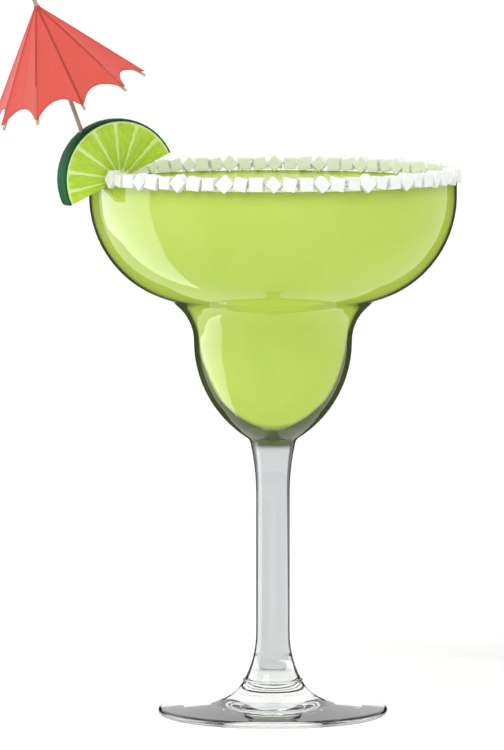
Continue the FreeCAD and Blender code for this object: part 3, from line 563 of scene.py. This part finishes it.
def make_crystals(material):
    """A row of coarse crystals on the lip, each turned, sized and chipped a little differently."""
    rng = random.Random(11)
    template, cube_faces = cube_template(7)
    first, run = salt_run()
    half_crystal = CRYSTAL * math.sqrt(0.5) / LIP_MIDDLE
    room = run - 2 * half_crystal
    steps = round(room * LIP_MIDDLE / CRYSTAL_PITCH)
    points, faces = [], []
    for number in range(steps + 1):
        half = CRYSTAL / 2 * UNEVEN_SIZES[number % len(UNEVEN_SIZES)]
        turn = Matrix.Rotation(math.radians(LEVEL_TURNS[number % len(LEVEL_TURNS)]), 3, "X")
        lean = Matrix.Rotation(math.radians(UNEVEN_LEANS[number % len(UNEVEN_LEANS)]), 3, "Z")
        round_rim = Matrix.Rotation(first + half_crystal + room * number / steps, 3, "Z")
        place = round_rim @ Vector((LIP_MIDDLE, 0, RIM_HEIGHT + CRYSTAL_LIFT))
        shape = chip(template, rng) * half
        start = len(points)
        points += [tuple(row) for row in shape @ np.array(round_rim @ lean @ turn).T + np.array(place)]
        faces += [tuple(start + index for index in face) for face in cube_faces]
    crystals = add_piece("salt_crystals", points, faces, material)
    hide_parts("salt_rim")


def make_grains(material):
    """Finer grains that cling to the lip between and below the crystals."""
    rng = random.Random(23)
    template, cube_faces = cube_template(0)
    first, run = salt_run()
    points, faces = [], []
    for _ in range(GRAINS):
        bearing = first + run * rng.random()
        half = rng.uniform(0.14, 0.42) ** 1.2
        down = CRUST_DEPTH * rng.random() ** 1.5
        side = rng.choice((-1, 1)) * (WALL / 2 + half * 0.5)
        if rng.random() < 0.3:
            side, down = rng.uniform(-0.6, 0.6), -half * 0.5
        turn = Matrix.Rotation(rng.uniform(0, math.tau), 3, Vector([rng.gauss(0, 1) for _ in range(3)]))
        place = Matrix.Rotation(bearing, 3, "Z") @ Vector((LIP_MIDDLE + side, 0, RIM_HEIGHT - down))
        sides = np.array([rng.uniform(0.7, 1.2) for _ in range(3)]) * half
        start = len(points)
        points += [tuple(row) for row in (template * sides) @ np.array(turn).T + np.array(place)]
        faces += [tuple(start + index for index in face) for face in cube_faces]
    add_piece("salt_grains", points, faces, material, smooth=False)


# ---------------------------------------------------------------- the lime slice

ZEST = 0.6  # thickness of the green skin
PITH = 1.15  # skin and pith together, to where the pulp begins
MEMBRANE = (0.2, 0.5)  # between two segments, at the core and at the pith
CORE = 1.0
PITH_SUNK = 0.12  # how far the pith lies below the cut faces
PITH_LAP = 0.05  # how far the pith's edge reaches into the skin
MEMBRANE_BEARINGS = (0, 20, 46, 70.5, 95.5, 119, 146.5, 167, 180)  # degrees, seldom even


def lime_edge(level):
    """Radius of the rind at a level from -1, the back face, to 1, the front face."""
    mean = (LIME_RADIUS + LIME_BACK_RADIUS) / 2
    return mean + (LIME_RADIUS - LIME_BACK_RADIUS) / 2 * level + RIND_BULGE * (1 - level**2)


def swept_half(section, steps, relief=None):
    """A closed section, as radii and levels, swept half way round the slice's core."""
    points = []
    for step in range(steps + 1):
        angle = math.pi * step / steps
        for index, (radius, level) in enumerate(section):
            place = Vector((radius * math.cos(angle), radius * math.sin(angle), level))
            if relief:
                place += relief(index, place, angle)
            points.append(tuple(place))
    count = len(section)
    faces = grid_faces(steps + 1, count, wrap=True)
    faces += [tuple(range(count)), tuple(range(len(points) - 1, len(points) - 1 - count, -1))]
    return points, faces


def cut_notch(piece, notch):
    """Cut the slot for the glass's wall out of a piece of the slice."""
    cutter = piece.modifiers.new("wall_notch", "BOOLEAN")
    cutter.operation = "DIFFERENCE"
    cutter.solver = "EXACT"
    cutter.object = notch
    bpy.context.view_layer.update()
    seen = piece.evaluated_get(bpy.context.evaluated_depsgraph_get())
    cut = bpy.data.meshes.new_from_object(seen)
    piece.modifiers.clear()
    piece.data = cut


def make_notch():
    """The ring of wall that the slice is pushed down on, with a little clearance."""
    clearance = 0.2
    inside, outside = RIM_RADIUS - WALL - clearance, RIM_RADIUS + clearance
    low, high = RIM_HEIGHT - 2 * LIME_RADIUS, RIM_HEIGHT + clearance
    section = [(inside, low), (outside, low), (outside, high), (inside, high)]
    turns = [2 * math.pi * n / TURNED_STEPS for n in range(TURNED_STEPS)]
    points = [(r * math.cos(a) * MM, r * math.sin(a) * MM, z * MM) for a in turns for r, z in section]
    faces = grid_faces(TURNED_STEPS, 4, wrap=True)
    last = 4 * (TURNED_STEPS - 1)
    faces += [(last + n, last + (n + 1) % 4, (n + 1) % 4, n) for n in range(4)]
    mesh = bpy.data.meshes.new("notch")
    mesh.from_pydata(points, [], faces)
    tidy = bmesh.new()
    tidy.from_mesh(mesh)
    bmesh.ops.recalc_face_normals(tidy, faces=tidy.faces)
    tidy.to_mesh(mesh)
    tidy.free()
    notch = bpy.data.objects.new("notch", mesh)
    bpy.context.scene.collection.objects.link(notch)
    return notch


def make_rind(material, place):
    """The green skin, dimpled over its outside and rounded where it meets the cut faces."""
    levels = [math.sin(math.pi / 2 * (n / 8 - 1)) for n in range(17)]
    outer = [(lime_edge(v) - 0.18 * v**12, LIME_HALF * v) for v in levels]
    inner = [(lime_edge(v) - ZEST, LIME_HALF * v * 0.985) for v in (1.0, 0.5, 0.0, -0.5, -1.0)]

    def dimple(index, spot, angle):
        if not 0 < index < len(outer) - 1:
            return Vector()
        outward = Vector((math.cos(angle), math.sin(angle), 0))
        return outward * (0.07 * (cell_relief(*(spot / 1.3)) - 1))

    points, faces = swept_half(outer + inner, 170, dimple)
    return add_piece("lime_rind", points, faces, material, place)


def make_pith(material, place):
    """Pith under the skin, and the membranes and core between the segments."""
    face = LIME_HALF - PITH_SUNK
    radii = [0.0] + [lime_edge(1) * n / 16 for n in range(1, 16)] + [lime_edge(1) - ZEST + PITH_LAP]
    front = [(r, face) for r in radii]
    side = [(lime_edge(v) - ZEST + PITH_LAP, face * v) for v in (0.6, 0.2, -0.2, -0.6)]
    back = [(min(r, lime_edge(-1) - ZEST + PITH_LAP), -face) for r in reversed(radii)]

    def fibres(index, spot, angle):
        wave = 0.05 * noise.noise(spot * 1.1)
        return Vector((0, 0.08, math.copysign(wave, spot.z) if abs(spot.z) > face - 0.01 else 0))

    points, faces = swept_half(front + side + back, 120, fibres)
    return add_piece("lime_pith", points, faces, material, place)


def make_pulp(material, place):
    """Eight segments of pulp right through the slice, swollen a little out of both faces."""
    rows, across = 34, 15
    corner = 0.8
    points, faces = [], []
    for number, (start, end) in enumerate(zip(MEMBRANE_BEARINGS, MEMBRANE_BEARINGS[1:])):
        first_cut, last_cut = number == 0, number == len(MEMBRANE_BEARINGS) - 2
        base = len(points)
        for facing in (1, -1):
            reach = lime_edge(facing) - PITH
            tip = CORE if not (first_cut or last_cut) else CORE + 0.5
            for row in range(rows):
                along = row / (rows - 1)
                radius = tip + (reach - tip) * math.sin(along * math.pi / 2)
                past = max(0.0, (radius - (reach - corner)) / corner)
                round_off = corner * (1 - math.sqrt(max(0.0, 1 - past**2)))
                wide = MEMBRANE[0] + (MEMBRANE[1] - MEMBRANE[0]) * along
                trim = (wide / 2 + round_off) / radius
                low = math.radians(start) + (0 if first_cut else trim)
                high = math.radians(end) - (0 if last_cut else trim)
                for column in range(across):
                    share = math.sin(math.pi / 2 * (2 * column / (across - 1) - 1))
                    angle = (low + high) / 2 + (high - low) / 2 * share
                    swell = 1 - abs(share) ** 6
                    if (first_cut and share < 0) or (last_cut and share > 0):
                        swell = 1.0
                    ends = min(1.0, 8 * along, 8 * (1 - along))
                    sac = cell_relief(radius / 2.6 + number * 7, angle * 12, facing * 3.3)
                    rise = -0.35 + 0.35 * swell * ends + 0.2 * swell * ends * sac
                    level = facing * (LIME_HALF + rise)
                    points.append((radius * math.cos(angle), radius * math.sin(angle), level))
        count = rows * across
        faces += grid_faces(rows, across, base)
        faces += grid_faces(rows, across, base + count)
        border = [(row, 0) for row in range(rows)]
        border += [(rows - 1, column) for column in range(1, across)]
        border += [(row, across - 1) for row in range(rows - 2, -1, -1)]
        border += [(0, column) for column in range(across - 2, 0, -1)]
        ring = [base + row * across + column for row, column in border]
        for here, after in zip(ring, ring[1:] + ring[:1]):
            faces.append((here, after, after + count, here + count))
    return add_piece("lime_pulp", points, faces, material, place)


def make_lime():
    """The slice: skin, pith and pulp, all notched over the wall."""
    place = lime_place()
    rind = make_rind(lime_zest(), place)
    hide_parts("lime_slice")
    pith = make_pith(lime_pith(), place)
    pulp = make_pulp(lime_pulp(), place)
    notch = make_notch()
    for piece in (rind, pith, pulp):
        cut_notch(piece, notch)
    bpy.data.objects.remove(notch)


# ---------------------------------------------------------------- the parasol

PAPER = 0.16
PANEL_SAG = 0.75  # how far the paper sinks between two ribs at the hem


def make_canopy(material, place):
    """Tissue paper stretched over the ribs: folded on each, sunk and creased between them."""
    rows, across = 30, 17
    half_side = math.pi / RIBS
    half_chord = CANOPY_RADIUS * math.sin(half_side) - TIP_FLAT
    arc = (half_chord**2 + SCALLOP**2) / (2 * SCALLOP)
    slope = CANOPY_HEIGHT / CANOPY_RADIUS
    points, faces = [], []
    for panel in range(RIBS):
        start = len(points)
        middle = 2 * half_side * (panel + 0.5)
        out = Vector((math.cos(middle), math.sin(middle), 0))
        aside = Vector((-math.sin(middle), math.cos(middle), 0))
        normal = (out * slope * math.cos(half_side) + UP).normalized()
        for row in range(rows):
            for column in range(across):
                share = 2 * column / (across - 1) - 1
                offset = share * CANOPY_RADIUS * math.sin(half_side)
                cut = math.sqrt(max(arc**2 - offset**2, 0)) - (arc - SCALLOP)
                hem = CANOPY_RADIUS - max(cut, 0.0) / slope
                reach = NECK_RADIUS + (hem - NECK_RADIUS) * row / (rows - 1)
                spot = out * (reach * math.cos(half_side)) + aside * (offset * reach / CANOPY_RADIUS)
                spot.z = APEX - reach * slope
                open_share = reach / CANOPY_RADIUS
                sink = PANEL_SAG * (1 - share**2) ** 0.8 + 0.18 * max(0, 1 - abs(share) * 7)
                ridge = 0.16 * max(0.0, 1 - (1 - abs(share)) * 9)
                ripple = 0.12 * noise.noise(spot * 0.28) + 0.05 * noise.noise(spot * 0.9)
                lift = ridge - sink * open_share + ripple * (1 - share**2) * open_share
                points.append(tuple(spot + normal * lift))
        faces += grid_faces(rows, across, start)
    points = [tuple(place @ (Vector(point) * MM) / MM) for point in points]
    canopy = add_piece("paper_canopy", points, faces, material)
    sheet = canopy.modifiers.new("paper", "SOLIDIFY")
    sheet.thickness = PAPER * MM
    sheet.offset = -1.0
    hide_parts("parasol_canopy")


def repaint(names, material):
    """Give CAD nodes a finish."""
    for name in names:
        for slot in NODES[name].material_slots:
            slot.material = material


def make_parasol():
    """Canopy, and finishes for the wooden and card pieces under it."""
    place = parasol_place()
    paper = tissue_paper(place)
    make_canopy(paper, place)
    split = [f"parasol_{kind}_{n + 1}" for kind in ("rib", "strut") for n in range(RIBS)]
    repaint(["parasol_stick"], wood("birch_turned", "#8C8066", "#AFA488", 0.5, place))
    repaint(split + ["parasol_hub"], wood("bamboo_split", "#A98C5E", "#CDB588", 0.4, place))
    repaint(["parasol_cap"], paper)
    card = mottled("kraft_card_rolled", "#9C7E55", "#B39A70", 0.6, {"Roughness": 0.8})
    repaint(["parasol_runner"], card)
    rubber = mottled("natural_rubber_moulded", "#CFC6B0", "#DDD5C2", 0.5, {"Roughness": 0.5})
    repaint(["parasol_ring"], rubber)


# ---------------------------------------------------------------- stage, light and camera

CAMERA_PLACE = Vector((-6.4, -2050.0, 289.9))
CAMERA_AIM = Vector((-6.4, 0.0, 104.4))
HALF_VIEW = 0.05575  # tangent of half the view's height
FILM = 36.0


def flat_card(name, corners, material):
    """A card of the stage, from its corners in millimetres."""
    mesh = bpy.data.meshes.new(name)
    points = [tuple(c * MM for c in corner) for corner in corners]
    mesh.from_pydata(points, [], [tuple(range(len(points)))])
    mesh.materials.append(material)
    card = bpy.data.objects.new(name, mesh)
    bpy.context.scene.collection.objects.link(card)
    return card


def only_seen(card, rays):
    """Let a card show only to some kinds of ray, so that it neither lights nor shades the drink."""
    for kind in ("camera", "diffuse", "glossy", "transmission", "shadow"):
        setattr(card, f"visible_{kind}", kind in rays)


# A leaf of light on the table at the left, which runs from beside the foot out to an upright card:
# the bowl mirrors it as a pale streak that narrows downwards.
BRIGHT_CARD = [
    (-72.0, 34.0), (-127.0, -3.0), (-235.0, -46.0), (-620.0, -110.0),
    (-480.0, 430.0), (-301.0, 166.0), (-163.0, 80.0),
]
CARD_LEVEL = 1.0  # how high above the table the lying cards are


def make_stage():
    """A wide pale floor, black cards that the glass's outlines mirror and a bright one at its left."""
    floor_material, tree, shader, where = start_material("matte_white_board", {"Roughness": 0.9})
    tone = add_node(tree, "TexNoise", {"Vector": where, "Scale": pitch(400), "Detail": 1.0})
    tint = add_node(tree, "MixRGB", {
        "Fac": tone.outputs["Fac"], "Color1": colour("#F5F5F4"), "Color2": colour("#F8F8F7"),
    })
    tree.links.new(tint.outputs["Color"], shader.inputs["Base Color"])
    wide, drop = 40000.0, -0.1
    corners = [(x * wide, y * wide, drop) for x, y in ((-1, -1), (1, -1), (1, 1), (-1, 1))]
    flat_card("floor", corners, floor_material)

    black, _, _, _ = start_material("black_card", {"Base Color": colour("#1A1A1B"), "Roughness": 0.9})
    near, far, tall = 150.0, 620.0, 135.0
    for side in (-1, 1):
        inner, outer = (math.radians(90 + side * degrees) for degrees in (8, 44))
        upright = [(far, inner, CARD_LEVEL), (far, outer, CARD_LEVEL), (far, outer, tall), (far, inner, tall)]
        lying = [(r, a, CARD_LEVEL) for r, a in ((near, inner), (far, inner), (far, outer), (near, outer))]
        for name, spots in (("upright", upright), ("lying", lying)):
            corners = [(r * math.cos(a), r * math.sin(a), z) for r, a, z in spots]
            only_seen(flat_card(f"black_card_{name}_{side + 2}", corners, black), ("glossy",))

    bright, _, _, _ = start_material("bright_card", {
        "Base Color": colour("#000000"), "Emission Color": colour("#FFFFFF"), "Emission Strength": 3.5,
    })
    lying = [(x, y, CARD_LEVEL) for x, y in BRIGHT_CARD]
    only_seen(flat_card("bright_card_low", lying, bright), ("glossy",))
    far_front, far_back = lying[3:5]
    top = 500.0
    upright = [far_front, far_back, (*far_back[:2], top), (*far_front[:2], top)]
    only_seen(flat_card("bright_card_upright", upright, bright), ("glossy",))


def make_light():
    """Bright even daylight with a soft key from the upper left front."""
    world = bpy.data.worlds.new("studio")
    world.use_nodes = True
    world.node_tree.nodes["Background"].inputs["Color"].default_value = (1, 1, 1, 1)
    world.node_tree.nodes["Background"].inputs["Strength"].default_value = 1.1
    bpy.context.scene.world = world
    light = bpy.data.lights.new("key", "AREA")
    light.shape = "RECTANGLE"
    light.size, light.size_y = 0.9, 0.9
    light.energy = 9.0
    key = bpy.data.objects.new("key", light)
    place = Vector((-0.8, -1.2, 1.6))
    turn = (Vector((0, 0, 0.1)) - place).to_track_quat("-Z", "Y")
    key.matrix_world = Matrix.Translation(place) @ turn.to_matrix().to_4x4()
    key.visible_camera = False
    bpy.context.scene.collection.objects.link(key)


def make_camera():
    """A long lens a little above the rim, looking down at the glass's middle."""
    data = bpy.data.cameras.new("camera")
    data.sensor_fit = "VERTICAL"
    data.sensor_height = FILM
    data.lens = FILM / 2 / HALF_VIEW
    data.clip_end = 200.0
    camera = bpy.data.objects.new("camera", data)
    turn = (CAMERA_AIM - CAMERA_PLACE).to_track_quat("-Z", "Y")
    camera.matrix_world = Matrix.Translation(CAMERA_PLACE * MM) @ turn.to_matrix().to_4x4()
    bpy.context.scene.collection.objects.link(camera)
    bpy.context.scene.camera = camera


# ---------------------------------------------------------------- the whole

make_camera()
make_stage()
make_light()
bpy.context.scene.view_settings.view_transform = "Standard"

repaint(["glass"], soda_lime_glass())
NODES["glass"].visible_shadow = False
NODES["glass"].visible_diffuse = False
salt = coarse_sea_salt()
make_drink(cloudy_lime_drink())
make_crystals(salt)
make_grains(salt)
make_lime()
make_parasol()
